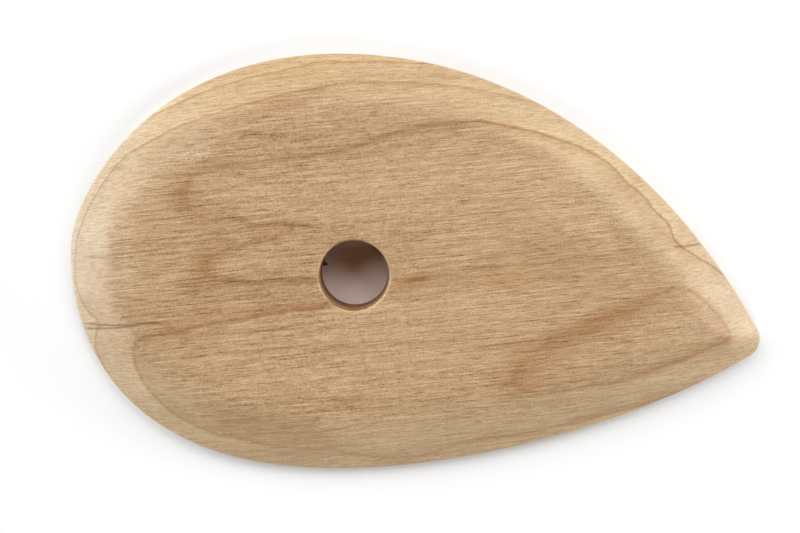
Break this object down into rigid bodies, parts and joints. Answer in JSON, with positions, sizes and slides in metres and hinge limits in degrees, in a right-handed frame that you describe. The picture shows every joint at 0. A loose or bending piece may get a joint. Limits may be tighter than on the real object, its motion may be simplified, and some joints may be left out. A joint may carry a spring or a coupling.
{
  "type": "pottery rib",
  "caption": "Teardrop hardwood pottery rib: a flat-backed slab with a wide bevel all round its face, a rounded nose and a finger hole.",
  "frame": {"origin": "middle of the bounding rectangle of the flat back, at the back's surface", "axes": "+X along the rib from its butt to its nose, +Z out of the bevelled face, so +Y runs from the belly to the crown"},
  "size_m": [0.134, 0.0804, 0.0095],
  "materials": {
    "wood": "bare, fine-sanded flat-sawn hardwood, unsealed and matt"
  },
  "bodies": {
    "root": {"rib": "wood"}
  },
  "joints": []
}
